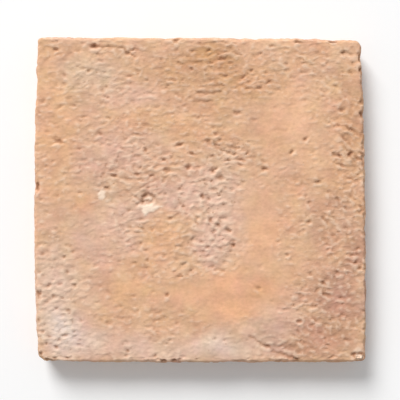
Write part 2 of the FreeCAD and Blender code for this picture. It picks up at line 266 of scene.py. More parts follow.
# marks that stand out, in mm: x, y, length, height, turn in degrees, depth; less than no depth stands up
pits = [
    (39, 18.8, 4, 2.4, -5, 1.5), (55, 29, 3, 2.4, 40, 1.25), (63.6, 37, 3.2, 2.2, 35, 1.2),
    (71.6, 11, 4.8, 1.9, 0, 1.5), (22.5, 52.6, 5, 1.9, 0, 1), (91, 28, 2.8, 4.4, -12, 1.7),
    (65.5, -13, 3.2, 2.2, 30, 1.1), (65.8, -1.2, 3.2, 2.1, 0, 1), (63.8, 2.2, 1.8, 3.4, 0, 0.7),
    (1.5, 2, 3.2, 2.3, -20, 1.2), (52.6, -33, 3, 2, 10, 1), (35.6, -53, 4, 2.4, -30, 0.8),
    (-20, -57, 2.6, 2.6, 0, 1.2), (60, -73, 2.4, 2.4, 0, 1.2), (-44, -91, 2.6, 2.4, 0, 1.1),
    (-64, 93, 4.6, 3, 0, 1.7), (-87, 91, 3.2, 2.6, 0, 1.2), (-85, 35.6, 6.6, 2.5, -22, 1.4),
    (-56, 7.3, 3.6, 2.4, -18, 0.9), (-62, 8.6, 5, 1.6, 0, 0.5), (86.5, 89, 4, 2.2, -8, 1.4),
    (91, 88, 4, 1.8, -6, 0.9), (58, -96, 3.6, 2.4, -20, 1.2), (-82, -82, 3.6, 2.4, 0, 0.7),
    (-37.4, -2.8, 3, 1.6, 0, 0.7), (-21, 3.6, 2.6, 1.8, 30, 0.7),
    # short dashes in the back left
    (-71, 79.6, 6, 1.8, 12, 0.6), (-60, 84, 4.4, 1.7, 0, 0.6), (-76, 68, 3, 2, 0, 0.5),
    (-29.6, 64.6, 5, 1.7, -18, 0.6), (-58.5, 58.7, 5.4, 1.6, 0, 0.5), (-40.6, 59.8, 5, 1.5, 0, 0.45),
    (-55.7, 49.5, 4.4, 1.6, 12, 0.5), (-61, 40.6, 3.4, 1.9, -20, 0.6), (-44.7, 37.5, 4.4, 1.8, 14, 0.8),
    (-41, 33.7, 4, 1.8, -8, 0.7), (-12.4, 33.4, 5.4, 1.8, 14, 1), (-33, 30, 3.6, 1.8, 12, 0.7),
    (-22, 24, 3.4, 1.8, 16, 0.8), (-20, 17.6, 7, 1.7, -4, 0.8), (-21, 28, 4, 1.6, 10, 0.6),
    (-45, 13.2, 6, 2, -10, 0.7), (-80, 19, 3.2, 1.9, 0, 0.4),
    # drag marks in the back right
    (13.4, 85.3, 6, 2, 4, 1), (23, 88.4, 6, 1.8, -14, 0.9), (43.6, 93, 6, 1.7, -14, 0.6),
    (58.6, 95.8, 3, 1.9, 0, 0.7), (41.6, 71.2, 4, 1.8, 0, 0.9), (35.5, 67.8, 3.6, 1.8, 0, 0.8),
    (32.5, 48.3, 4.6, 1.6, 0, 0.45), (63.2, 77, 6, 1.6, 0, 0.5), (62.5, 68.5, 5.4, 1.4, 4, 0.45),
    (85.2, 54.3, 3.2, 2, -10, 0.8), (84.5, 60.6, 3, 2, 0, 0.6),
    # slanting tears along the right side
    (91.4, 42.4, 7.4, 1.8, -26, 1.2), (87.6, 37.2, 6.4, 1.8, -40, 1.1), (83.2, 27, 6, 1.8, -22, 1),
    (84.7, 21.4, 8, 1.8, -20, 1.2), (95, 25, 5.6, 1.8, -16, 1), (75.8, -12.2, 7, 1.7, -48, 0.9),
    (68.6, -7.4, 5.4, 1.6, 0, 0.6), (92, -33, 6.6, 1.6, -4, 0.7), (91.7, -37.3, 6.6, 1.5, -24, 0.7),
    (88.8, -41, 6, 1.5, -20, 0.6), (70.8, -54, 4, 2.2, 40, 0.9), (75, -50.4, 4, 1.8, -16, 0.6),
    (66.8, -44.2, 3.4, 1.8, 0, 0.5), (59.6, -57, 3.4, 1.7, 0, 0.5), (68.6, -64.2, 7.4, 1.7, 14, 0.7),
    (47.7, -65.7, 3.4, 2, 0, 0.4), (84.5, -70, 3.4, 2, 0, 0.7), (93, -76, 4.6, 1.7, -8, 0.6),
    (89.5, -84.6, 4.4, 1.8, -14, 0.7), (68, -89, 4.4, 2, -20, 0.7), (79.4, -94.8, 4.6, 1.8, 24, 0.7),
    (40.5, -88, 4.4, 2.2, -14, 0.9),
    # the torn middle
    (24.6, 24.4, 6, 1.8, -8, 0.9), (12, 36.4, 2.8, 2.1, 0, 0.9), (-7, 19.5, 2.6, 2.2, 0, 1),
    (-4.9, 27.9, 4.6, 1.6, -6, 0.8), (7.4, 26.8, 5, 1.6, -10, 0.6), (-22.1, 24.4, 3.4, 1.7, 10, 0.5),
    (-15.2, 21.5, 3.2, 1.6, 0, 0.7), (-0.8, 19.9, 2.6, 1.8, 0, 0.6), (12.9, 13.3, 5, 3, -20, 0.6),
    (-12.5, 11.9, 4, 2, -10, 0.5), (3.3, 12, 5.4, 1.5, 0, 0.6), (7.8, 17.2, 4, 1.7, -8, 0.6),
    (-11.1, 6.7, 3.6, 1.6, -8, 0.5), (3.3, 6.7, 3.4, 1.7, 0, 0.6), (19.8, -1.3, 2.6, 1.8, -20, 0.6),
    (14.6, -3, 2.6, 1.7, 0, 0.5), (6.7, -12.4, 3.6, 1.9, -40, 0.8), (10.9, -15.2, 3.6, 1.7, -10, 0.6),
    (8.8, -21.8, 4.4, 2, -40, 0.7), (1.2, -25.3, 3.2, 1.8, 0, 0.6), (10.9, -28.8, 4, 1.8, -15, 0.6),
    (1.9, -31.2, 3.4, 1.9, 10, 0.5), (-14.5, -35.7, 2.6, 2, 0, 0.6), (-2.5, -41, 3.2, 1.8, 10, 0.5),
    (7.4, -40.3, 3.4, 1.8, 12, 0.6), (-18, -11, 2.8, 2.2, 0, 1.1), (17.4, -18.3, 3.4, 2.1, -25, 1.2),
    (8.2, 43.9, 2.8, 2.2, 0, 0.8), (-1.1, -14.5, 2.6, 2.4, -30, 0.8), (-34.5, -17.2, 4.4, 1.7, -10, 0.7),
    (-42, -16.4, 5, 1.8, -18, 0.7), (-47.4, -22.8, 4.4, 1.8, -20, 0.6), (-36.5, -11.7, 6, 1.5, 4, 0.5),
    (-33, -29.8, 3.6, 1.7, -8, 0.6), (-40, -30.6, 3.4, 1.8, 0, 0.7), (-43.6, -19.4, 4, 1.7, 20, 0.6),
    (-43, -25, 3.4, 1.8, -20, 0.6), (-16, -43, 4.4, 1.7, 10, 0.6), (20.2, -27.3, 2.8, 1.8, 0, 0.9),
    (12.7, -12.6, 2.6, 1.8, -20, 0.8), (7.2, -8.4, 3.8, 3, -20, -0.5), (10.4, -13, 3.8, 3, 0, -0.5),
    (15.6, -25.4, 3.6, 2.8, 0, -0.4),
    # dashes and pores in the front left
    (-91.2, -50.6, 2.2, 2.8, 0, 0.8), (-84.4, -50.8, 2.8, 2.4, 0, 0.7), (-91.2, -60, 2.8, 2.2, 0, 0.5),
    (-88.5, -57.9, 2, 2.4, 0, 0.7), (-79.7, -66.4, 3.6, 2.6, -10, 0.7), (-71.9, -72.5, 2.4, 2.6, 0, 0.7),
    (-81.8, -34, 2.4, 2, 0, 0.7), (-80.1, -42.6, 2, 2.6, 0, 0.6), (-28, -66.5, 5, 1.5, -10, 0.6),
    (-21, -71, 4, 1.5, 0, 0.5), (-85, -80, 2, 1.8, 0, 0.7), (-89, -76, 1.8, 1.6, 0, 0.6),
    (-80, -86, 2, 1.6, 0, 0.6), (-91, -68, 1.8, 1.6, 0, 0.5), (-77, -76, 1.8, 1.6, 0, 0.5),
    (-84.9, -84.4, 2.4, 1.9, 0, 0.8), (-86, -89.2, 3.2, 2, 0, 0.8), (-78, -90.5, 2.2, 2.6, 0, 0.7),
    (-72.5, -87.6, 4, 1.6, 0, 0.5), (-95.3, -79.2, 2.6, 2, 0, 0.8), (-77, -73.3, 1.8, 3, 0, 0.6),
    (-76.6, -31.3, 2.8, 2.2, -20, 0.8), (-64.9, -46.8, 7, 1.5, 0, 0.5), (-75.9, -51.8, 4.4, 1.6, 0, 0.5),
    (-27, -68, 9, 1.6, 4, 0.7), (-25.6, -72.4, 9.5, 1.5, 8, 0.6), (-13.9, -74.4, 4, 1.7, 0, 0.6),
    (-31.8, -76.5, 3.4, 1.6, 0, 0.5), (-27.7, -85.1, 6, 1.6, 0, 0.5), (-21, -86.6, 4, 1.7, -10, 0.5),
    (-12.2, -96.1, 3, 2, 20, 0.8), (-10.5, -67.1, 3.4, 1.6, -25, 0.5),
    # more dashes across the back
    (-62, 88.1, 3.4, 1.8, 0, 0.7), (-38, 90.4, 5, 1.6, -4, 0.5), (-55, 81, 4.2, 1.6, 0, 0.5),
    (-16.7, 72.6, 7.4, 1.7, -8, 0.8), (-21, 67.2, 6.4, 1.6, 6, 0.6), (-85.2, 55.7, 5, 2, 30, 0.5),
    (-92, 41, 4, 1.8, 0, 0.5), (-82, 76, 5, 2.6, -20, 0.5), (5.2, 90.2, 5, 1.7, 0, 0.7),
    (13.9, 96.2, 3.4, 1.8, 0, 0.7), (29, 67.2, 4, 1.7, 0, 0.6), (11.4, 68.8, 5, 1.6, 0, 0.6),
    (6.6, 72.6, 4, 1.7, 0, 0.6), (6.6, 80, 3, 1.9, -40, 0.7), (59, 95.6, 4, 2, 0, 0.9),
    # knocks that bite into the walking face along its edges
    (-98.2, 8.6, 2.6, 5, 0, 1.6), (-97.6, -56.3, 3.4, 3.4, -30, 1.5), (-97.4, -72.3, 2.4, 2.4, 0, 1),
    (-97.2, -92.8, 3.6, 3.4, 0, 1.6), (-94.6, -96.6, 3.4, 3, -40, 1.4), (-90.6, -97.6, 4.4, 2, -10, 1.3),
    (-14.6, 97, 4, 2.4, 0, 1.4), (80.2, 97.2, 4, 2.6, 12, 1.7), (97.4, 86, 2.6, 4.4, 0, 1.6),
    (97.4, 78.6, 2.4, 4, 0, 1.5), (97.6, 52.2, 2.6, 4, 0, 1.5), (98, 59.5, 3, 3, 0, 1),
    (98.4, -6, 2.4, 2.4, 0, 1.2), (-21.8, -97.3, 3.6, 3, 0, 1.5), (-15.6, -97.3, 3.6, 3, 0, 1.5),
    (92.4, -93.2, 3, 2.4, 0, 1.3), (96.4, -97.6, 4.6, 2, 0, 1.4), (99, -95.2, 1.8, 4, 0, 1.2),
]
# cracks and creases: points, width, depth
cracks = [
    ([(-64, 93), (-58.7, 92.5), (-50.6, 92.7), (-45.8, 91.4), (-43.1, 88.1), (-39.4, 86.6)], 1.4, 0.9),
    ([(30.5, -82.6), (35, -85), (39.5, -88.3), (43, -89.4)], 1.5, 0.8),
    ([(45, -88.4), (52, -88), (58, -88.6)], 2, 0.6),
    ([(44, -91.2), (49, -92.6), (54, -94.8), (58.4, -96)], 1.5, 0.8),
    ([(-2, 64.8), (5, 64.4), (13, 65.2)], 1.5, 0.8),
    ([(-4, 59.6), (7, 59.4)], 1.5, 0.7),
    ([(79, -44.4), (86, -44), (93, -44.3)], 1.2, 0.4),
    ([(-32, -9.3), (-27.5, -7.2), (-22, -5.8)], 1.2, 0.4),
    ([(10.1, 31.3), (14.5, 29.9), (20.5, 27.2)], 1.5, 1),
    ([(16.6, 32.7), (23, 31.2)], 1.3, 0.8),
    ([(-37.4, -2), (-35.2, 0.4), (-33.4, 3.2), (-31, 4.2), (-28.6, 3.2), (-26.8, 0.6),
      (-25.2, -1.2)], 1.5, 0.6),
]
# grooves round a grain: x, y, length, height, groove width, depth
rings = [
    (-31.1, 1.3, 6.4, 4.6, 1.5, 0.3), (60, -73, 4.4, 4.2, 1.2, -0.35), (96.2, -94.4, 6, 5.4, 1.5, 0.8),
    (-75.8, -49.3, 5.4, 4.2, 1.4, 0.35), (4.5, -31.4, 6.4, 5.2, 1.5, 0.4),
]
# cream lime that swelled and burst: corners of each flake, how far it stands up, how pure it is
limes = [
    ([(-36.6, -2.9), (-35.4, -5.6), (-33.5, -8.9), (-30.6, -7.6), (-26.6, -6), (-22, -4.2),
      (-28.6, -2.4)], 0.35, 1),
    ([(-60.6, 6), (-60.9, 1.5), (-58.8, -0.4), (-56.9, 1.8), (-57.3, 5.6)], 0.2, 0.85),
    ([(-32.8, 0.9), (-31.6, 0), (-29.7, 0.2), (-29.4, 1.3), (-31.2, 1.9)], 0, 0.7),
    ([(-56.6, -0.2), (-55.6, -1.6), (-53.6, -1.4), (-54, 0.4)], 0, 0.5),
    ([(-39.6, -1), (-38, -2), (-36.6, -1.4), (-37.8, -0.2)], 0.1, 0.4),
    ([(94.6, -94.2), (95.4, -96.4), (97.8, -96.2), (98, -94), (96.2, -93.2)], 0.2, 1),
    ([(91.8, -90.2), (92.8, -91.8), (96.6, -92.2), (99, -91.6), (98.8, -90.2), (95, -89.6)], 0.3, 0.45),
    ([(-97.4, -13.8), (-95.4, -14), (-95.2, -11.6), (-97.2, -11.4)], 0, 0.35),
    ([(-97.8, -46.4), (-95.8, -46.6), (-95.6, -44.2), (-97.6, -44)], 0, 0.4),
    ([(-97.9, -66.8), (-96.2, -67), (-96, -64.4), (-97.8, -64.2)], 0, 0.45),
    ([(-96.4, -83.6), (-94, -83.8), (-93.8, -81), (-96.2, -80.8)], 0, 0.45),
]


def patchMask(x, y, patches, seed):
    # ellipses with ragged soft edges
    sx, sy = swayed(x, y, face["patchSway"], seed)
    mask = np.zeros_like(x)
    for px, py, long, high, turn, share in patches:
        a, b = turned(sx - px, sy - py, turn)
        mask = np.maximum(mask, share * smoothStep(*face["patchFade"], np.hypot(a / long, b / high)))
    return mask


def blurred(field, radius):
    # gaussian blur, radius in mm
    fx = np.fft.fftfreq(field.shape[0], face["pitch"])[:, None]
    fy = np.fft.rfftfreq(field.shape[1], face["pitch"])[None, :]
    keep = np.exp(-2 * (np.pi * radius) ** 2 * (fx ** 2 + fy ** 2))
    return np.fft.irfft2(np.fft.rfft2(field) * keep, field.shape)


def faceNoise(name, x, y, seed):
    strong, long, high = face["noise"][name]
    return strong * clayNoise(x, y, long, high, face["seed"] + seed)


def makeMasks(x, y):
    # the patches, and how torn the clay is
    masks = {}
    for n, (name, patches) in enumerate({**relief, **stains}.items()):
        masks[name] = patchMask(x, y, patches, face["seed"] + 10 * n)
    masks["bloom"] = blurred(masks["bloom"], face["haze"])
    torn = face["plainShare"] + (1 - face["plainShare"]) * masks["rough"]
    torn += (face["slickShare"] - torn) * masks["slick"]
    masks["torn"] = torn * (1 + faceNoise("uneven", x, y, 190))
    masks["whole"] = 1 - face["gravelBroken"] * masks["gravel"]  # where crumbs leave flakes whole
    return masks


def struckGrain(x, y, turn, seed):
    # dragged flakes and the creases between them; their front walls are steep
    u, v = turned(x, y, turn)
    v = v + faceNoise("grainLean", u, v, seed)
    flake = faceNoise("grain", u, v, seed) + faceNoise("smallGrain", u, v, seed + 1)
    crease = np.clip(1 - np.abs(faceNoise("crease", u, v, seed + 2)), 0, 1)
    kept = smoothStep(*face["creaseBreak"], faceNoise("creaseBreak", u, v, seed + 3))
    return face["crease"] * crease * kept - flake


def struckSkin(x, y, masks):
    # depth of the struck clay: waves, flakes, loose crumbs and the board's own lines
    depth = face["skin"] + faceNoise("swell", x, y, 191)
    sx, sy = swayed(x, y, face["flakeSway"], face["seed"] + 192)
    straight = struckGrain(sx, sy, 0, 200)
    slanted = struckGrain(sx, sy, face["slant"], 210)
    depth += masks["torn"] * masks["whole"] * (straight + (slanted - straight) * masks["slant"])
    loose = face["gravelShare"] + (face["gravelMost"] - face["gravelShare"]) * masks["gravel"]
    depth -= faceNoise("gravel", sx, sy, 220) * loose * masks["torn"]
    drag = y + faceNoise("streakSway", x, y, 196)
    streak = faceNoise("streak", x, drag, 197) + faceNoise("fineStreak", x, drag, 198)
    depth += streak * (face["streakShare"] + masks["tan"])
    return depth


def stamp(depth, x, y, ragged, mark, steep, lip):
    # presses a mark into a map; a steep one has a sheer back wall and a long front slope
    px, py, long, high, turn, deep = mark
    reach = max(long, high) + face["markReach"]
    i0, i1 = np.searchsorted(x[:, 0], (px - reach, px + reach))
    j0, j1 = np.searchsorted(y[0], (py - reach, py + reach))
    here = np.s_[i0:i1, j0:j1]
    a, b = turned(x[here] + ragged[0][here] - px, y[here] + ragged[1][here] - py, turn)
    a, b = a * 2 / long, b * 2 / high
    shorter, longer = (1 + sheer * steep for sheer in face["markSheer"])
    b = np.where(b > 0, b * shorter, b / longer)
    tight, flat = face["bowlShape"]
    depth[here] += deep * np.exp(-tight * (a * a + b * b) ** flat)
    tight, ahead = face["lipShape"]
    depth[here] -= lip * deep * np.exp(-tight * (a * a + (b + ahead) ** 2))


def strewTears(depth, x, y, ragged, masks):
    # small tears and raised crumbs, more of them where the clay is rough
    rng = np.random.RandomState(face["seed"])
    for n in range(face["tears"] + face["crumbs"]):
        px, py = (rng.uniform(boxLow[k], boxHigh[k]) for k in (0, 1))
        keep, size, thick, deep = rng.uniform(size=4)
        stray = rng.normal(0, face["tearStray"])
        cell = tuple(int((p - boxLow[k]) / face["pitch"]) for k, p in enumerate((px, py)))
        torn = masks["torn"][cell]
        if keep > torn ** face["tearThin"]:
            continue
        if n < face["tears"]:
            turn = stray + face["slant"] * masks["slant"][cell]
            long = np.interp(size ** face["tearShort"], (0, 1), face["tearLong"])
            long *= np.interp(masks["whole"][cell], (0, 1), (face["tearLeast"], 1))
            high = np.interp(thick, (0, 1), face["tearHigh"])
            cut = np.interp(deep ** face["tearShallow"], (0, 1), face["tearDeep"])
            cut *= np.interp(torn, (0, 1), (face["tearFaint"], 1))
            stamp(depth, x, y, ragged, (px, py, long, high, turn, cut), 1, face["lip"])
        else:
            wide = np.interp(size, (0, 1), face["crumbWide"])
            up = np.interp(deep ** face["crumbLow"], (0, 1), face["crumbHigh"])
            stamp(depth, x, y, ragged, (px, py, wide * face["crumbLong"], wide, 0, -up), 0, 0)


def alongCrack(x, y, points):
    # mm from a line of points
    near = np.full(x.shape, np.inf)
    for (ax, ay), (bx, by) in zip(points, points[1:]):
        long = (bx - ax) ** 2 + (by - ay) ** 2
        t = np.clip(((x - ax) * (bx - ax) + (y - ay) * (by - ay)) / long, 0, 1)
        near = np.minimum(near, np.hypot(x - ax - t * (bx - ax), y - ay - t * (by - ay)))
    return near


def pressMarks(x, y, ragged):
    # depth of the named pits and cracks
    marks = np.zeros_like(x)
    for mark in pits:
        stamp(marks, x, y, ragged, mark, face["markSteep"], face["lip"])
    for points, width, deep in cracks:
        near = alongCrack(x + ragged[0], y + ragged[1], points) / (width / 2)
        marks += deep * np.exp(-near ** 2)
    return marks


def cutRings(depth, x, y, ragged):
    for px, py, long, high, width, deep in rings:
        out = np.hypot((x + ragged[0] - px) * 2 / long, (y + ragged[1] - py) * 2 / high)
        depth += deep * np.exp(-((out - 1) * (long + high) / 2 / width) ** 2)


def insideFlake(x, y, corners):
    # mm inside a flake's outline, whose corners go round counter-clockwise
    inside = np.full(x.shape, np.inf)
    for (ax, ay), (bx, by) in zip(corners, corners[1:] + corners[:1]):
        long = math.hypot(bx - ax, by - ay)
        inside = np.minimum(inside, ((bx - ax) * (y - ay) - (by - ay) * (x - ax)) / long)
    return inside


def layLime(x, y, ragged):
    # where the flakes of lime are, and how deep; they lie at their own level
    mask = np.zeros_like(x)
    depth = np.full_like(x, face["skin"])
    sx, sy = (place + face["limeRagged"] * shift for place, shift in zip((x, y), ragged))
    bite = faceNoise("limeBite", x, y, 230)
    for corners, proud, pure in limes:
        spot = smoothStep(*face["limeEdge"], insideFlake(sx, sy, corners) + bite)
        mask = np.maximum(mask, pure * spot)
        depth -= spot * proud
    return mask, depth + faceNoise("limeRough", x, y, 199)


def makeFaceMaps():
    places = [np.arange(boxLow[k], boxHigh[k] + face["pitch"], face["pitch"]) for k in (0, 1)]
    x, y = np.meshgrid(*places, indexing="ij")
    ragged = [faceNoise("ragged", x, y, 180 + n) for n in (0, 1)]
    masks = makeMasks(x, y)
    depth = struckSkin(x, y, masks)
    strewTears(depth, x, y, ragged, masks)
    marks = pressMarks(x, y, ragged)
    depth += marks
    cutRings(depth, x, y, ragged)
    masks["lime"], limeDepth = layLime(x, y, ragged)

    # painted shade in the hollows and marks, painted highlight on the crests and crumbs
    shade = smoothStep(*face["hollowFrom"], depth - blurred(depth, face["hollowAround"]))
    shade = np.maximum(shade, face["markShade"] * smoothStep(*face["markFrom"], marks))
    masks["hollow"] = shade * (1 - masks["lime"])
    paintedHighlight = smoothStep(*face["crestFrom"], blurred(depth, face["crestAround"]) - depth)
    paintedHighlight *= 1 - (1 - face["tanHighlight"]) * masks["tan"]
    masks["paintedHighlight"] = paintedHighlight + face["gravelHighlight"] * masks["gravel"]
    return depth, limeDepth, masks


def readMap(field, px, py):
    # bilinear reading of a map at points in mm, short of its last row
    u = np.clip((px - boxLow[0]) / face["pitch"], 0, field.shape[0] - 1.001)
    v = np.clip((py - boxLow[1]) / face["pitch"], 0, field.shape[1] - 1.001)
    i, j = u.astype(int), v.astype(int)
    fu, fv = u - i, v - j
    low = field[i, j] * (1 - fu) + field[i + 1, j] * fu
    high = field[i, j + 1] * (1 - fu) + field[i + 1, j + 1] * fu
    return low * (1 - fv) + high * fv


faceDepth, limeDepth, faceMasks = makeFaceMaps()
print("face map", faceDepth.shape, "depth", faceDepth.min().round(2), "to", faceDepth.max().round(2), "mm")


# the tile's mesh: rings shot onto the construction solid, then worn and torn inwards

tile = {
    "node": "tile",
    "cells": 260,  # along each edge of the walking face
    "bedEvery": 4,  # one bed cell stands for this many
    "aimStep": 0.1,  # degrees between the rays that find the outline
    "clear": 5,  # mm above and below the tile where the straight rays start
    "railIn": 2.6,  # mm from the outline to the ring that the worn edge is shot from
    "railDown": 0.35,  # mm that this ring lies further down than in
    "edgeRings": 5,
    "sideRings": 14,
    "bedRings": 2,
    "bedRail": 1.6,  # mm, height of the lowest side ring
    "blend": {  # over the worn edge, from 0 at the sides to 1 on the face: start, full
        "face": (0, 0.7), "unside": (0.1, 0.8), "stain": (0, 0.4), "bite": (1, 0.7), "trim": (0.6, 0),
    },
    # trimmed sides, depths in mm
    "sideSkin": 0.2,
    "sideWave": 0.45,  # how unevenly they were trimmed
    "waveMiddle": 0.5,  # share of it that is even
    "sideGrain": 0.3,  # dragged sand
    "sideFold": 0.7,  # creases where the clay folded against the mould
    "foldSharp": 5,
    "foldBreak": (0, 0.5),  # the noise between which they break off
    "sidePock": 2,  # the deepest pocks
    "pockRare": 0.34,  # the higher, the fewer
    "sideNoise": {  # length and height in mm, then share
        "bow": (30, 40, 0.5), "dent": (9, 9, 0.6), "drag": (14, 1.8, 1), "sand": (3, 2, 0.9),
        "pock": (3.8, 2.2, 1), "fold": (34, 9, 1), "break": (26, 30, 1), "lump": (6, 3.4, 0.6),
    },
    "footWear": 0.1,  # share of the wear at the foot, which stays on the floor
    "footHigh": 2.5,  # mm, where the wear is full
    # worn edge, in mm
    "crumble": 0.7,
    "bites": ((9, 5, 1, 0.1), (3.1, 2.2, 0.8, 0.25)),  # length, height, share, how rare
    "biteFrom": (9, 3),  # below the face, where bites fade out and are full
    "notchDrop": 0.6,  # how far below the face the named knocks lie
    "nicks": 260,  # other knocks
    "nickWide": (1.4, 5),
    "nickDeep": (0.15, 1),
    "nickSmall": 2,  # the higher, the more of them are small
    "nickDrop": (0, 2.2),
    # bed, in mm
    "bedSkin": 0.02,
    "bedRub": (40, 9, 0.15),  # length, height, depth
    "bedPock": (13, 9, 0.3),  # length, height, how rare
    "bedInset": (3, 12),  # inside the tile's box, where its marks start and are full
    "shades": {  # painted shade for the material, the last one painted highlight on the sides' crests: mm deep where each starts and is full, how strong
        "knock": (0.5, 1.3, 1), "side": (0.1, 0.9, 0.55), "sunk": (0.3, 1, 0.25), "bed": (0, 0.4, 0.4),
        "sideHighlight": (0.05, 0.4, 0.8),
    },
    # flash marks from the kiln and sand from the moulding table, off the face
    "flashes": {"ash": 46, "mauve": 38, "straw": 60, "blush": 52},  # mm long
    "flashHigh": 24,  # mm, on the sides
    "flashBed": 1.4,  # times as long on the bed
    "flashFrom": (0.05, 0.5),  # the noise between which they start and are full
    "flashMost": 0.75,
}
# knocks that stand out along the worn edge: x, y, width, depth
notches = [
    (-101, 8.6, 5, 1.4), (-101, -56, 4.4, 1.3), (-14.6, 99, 4.4, 1), (80.4, 99, 5.8, 2),
    (101, 86.5, 5.4, 1.4), (101, 74, 4, 1.1), (101, 51.5, 4.4, 1.3), (101, 25, 4.4, 1.1),
    (101, -10, 3.6, 0.9), (-22, -99, 3.4, 1), (-16, -99, 3.4, 1), (-40, -99, 4.4, 0.7),
    (58, -99, 4.4, 1.1), (-101, -82, 5, 1), (-101, -30, 5, 0.8), (-99, -94, 4, 1.5),
    (-96.6, -97, 5, 1.6), (-92.6, -99, 5, 1.4),
]


def readSolid():
    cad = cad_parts[tile["node"]].data
    cad.calc_loop_triangles()
    return BVHTree.FromPolygons([v.co for v in cad.vertices], [t.vertices for t in cad.loop_triangles])


def shoot(solid, start, way):
    hit = solid.ray_cast(Vector(start) * mm, Vector(way).normalized())[0]
    return np.array(hit) / mm


def outline(solid, height):
    # the solid's outline at one height, evenly spaced from corner to corner, front left first:
    # points, ways outwards, runs along it, whole length
    turns = np.radians(np.arange(0, 360, tile["aimStep"]) - 135)
    middle = (0, 0, height)
    ring = np.array([shoot(solid, middle, (math.cos(t), math.sin(t), 0))[:2] for t in turns])
    corners = [int(np.argmax(ring @ np.array(way))) for way in ((-1, -1), (1, -1), (1, 1), (-1, 1))]
    ring = np.roll(ring, -corners[0], axis=0)
    corners = [(c - corners[0]) % len(ring) for c in corners] + [len(ring)]
    ring = np.vstack([ring, ring[:1]])
    run = np.concatenate([[0], np.cumsum(np.hypot(*np.diff(ring, axis=0).T))])
    marks = [np.linspace(run[a], run[b], tile["cells"], endpoint=False) for a, b in zip(corners, corners[1:])]
    marks = np.concatenate(marks)
    points = np.stack([np.interp(marks, run, ring[:, k]) for k in (0, 1)], axis=1)
    along = np.roll(points, -2, axis=0) - np.roll(points, 2, axis=0)
    along /= np.linalg.norm(along, axis=1)[:, None]
    return points, np.stack([along[:, 1], -along[:, 0]], axis=1), marks, run[-1]


def fillSquare(ring, cells):
    # grid of points inside a closed ring of four edges, front edge first
    south, east = ring[:cells + 1], ring[cells:2 * cells + 1]
    north, west = ring[2 * cells:3 * cells + 1][::-1], np.vstack([ring[3 * cells:], ring[:1]])[::-1]
    u = np.linspace(0, 1, cells + 1)[:, None, None]
    v = np.linspace(0, 1, cells + 1)[None, :, None]
    flat = (1 - v) * south[:, None] + v * north[:, None] + (1 - u) * west[None] + u * east[None]
    bend = (1 - u) * (1 - v) * south[0] + u * (1 - v) * south[-1] + (1 - u) * v * north[0] + u * v * north[-1]
    return flat - bend


def castPoints(solid, rim):
    # points shot onto the solid, each with its way inwards, its part (0 face, 1 sides, 2 bed, between
    # them the worn edge) and its run along the outline
    cells, every = tile["cells"], tile["bedEvery"]
    points, out, run, _ = rim
    rail = points - out * tile["railIn"]

    def straight(plan, start, way, part):
        hits = np.array([shoot(solid, (*p, start), way) for p in plan.reshape(-1, 2)])
        return hits, np.tile(way, (len(hits), 1)), np.full(len(hits), part), np.zeros(len(hits))

    # face, rings over the worn edge, down the sides and round the bed edge, coarser bed
    cast = [straight(fillSquare(rail, cells), tileTop + tile["clear"], (0.0, 0.0, -1.0), 0.0)]
    shoulder = tileTop - tile["railIn"] - tile["railDown"]
    edgeRings, bedRings = tile["edgeRings"], tile["bedRings"]
    aims = [(shoulder, 90 * (1 - n / edgeRings)) for n in range(1, edgeRings + 1)]
    aims += [(height, 0.0) for height in np.linspace(shoulder, tile["bedRail"], tile["sideRings"] + 1)[1:]]
    aims += [(tile["bedRail"], -90 * n / (bedRings + 1)) for n in range(1, bedRings + 1)]
    for height, tilt in aims:
        c, s = math.cos(math.radians(tilt)), math.sin(math.radians(tilt))
        ways = np.column_stack([out * c, np.full(len(out), s)])
        ring = np.array([shoot(solid, (*r, height), w) for r, w in zip(rail, ways)])
        cast.append((ring, -ways, np.full(len(out), 1 - max(0.0, s)), run))
    cast.append(straight(fillSquare(rail[::every], cells // every), -tile["clear"], (0.0, 0.0, 1.0), 2.0))
    return [np.concatenate(column) for column in zip(*cast)]


def sideDepth(run, height, length):
    # trimming, drag lines, sand, folds and pocks; then the same without the trimming
    seed = face["seed"] + 300
    noise = {}
    for n, (name, (long, high, part)) in enumerate(tile["sideNoise"].items()):
        noise[name] = part * clayNoise(run, height, long, high, seed + n, length)
    wave = tile["waveMiddle"] + noise["bow"] + noise["dent"]
    rub = noise["drag"] + noise["sand"] + noise["lump"]
    fold = np.clip(1 - tile["foldSharp"] * np.abs(noise["fold"]), 0, 1)
    fold *= smoothStep(*tile["foldBreak"], noise["break"])
    pock = np.maximum(0, noise["pock"] - tile["pockRare"])
    low = tile["sideGrain"] * rub + tile["sideFold"] * fold + tile["sidePock"] * pock
    return tile["sideSkin"] + tile["sideWave"] * np.maximum(0, wave) + low, low


def edgeBites(run, height, length):
    bites = np.zeros_like(run)
    for n, (long, high, part, rare) in enumerate(tile["bites"]):
        noise = clayNoise(run, height, long, high, face["seed"] + 320 + n, length)
        bites += part * np.maximum(0, noise - rare)
    return tile["crumble"] * bites * smoothStep(*tile["biteFrom"], tileTop - height)


def edgeKnocks(at, points):
    # dishes knocked out of the worn edge, the named ones and many small ones
    rng = np.random.RandomState(face["seed"] + 5)
    knocks = []
    for x, y, wide, deep in notches:
        knocks.append((int(np.argmin(np.hypot(*(points - (x, y)).T))), wide, deep, tile["notchDrop"]))
    for _ in range(tile["nicks"]):
        sizes = (tile["nickWide"], tile["nickDeep"])
        wide, deep = (np.interp(rng.uniform() ** tile["nickSmall"], (0, 1), size) for size in sizes)
        knocks.append((rng.randint(len(points)), wide, deep, rng.uniform(*tile["nickDrop"])))
    worn = np.zeros(len(at))
    for k, wide, deep, drop in knocks:
        middle = np.array([*points[k], tileTop - drop])
        near = np.linalg.norm((at - middle) / (wide / 2), axis=1)
        worn = np.maximum(worn, deep * np.exp(-near ** 2))
    return worn


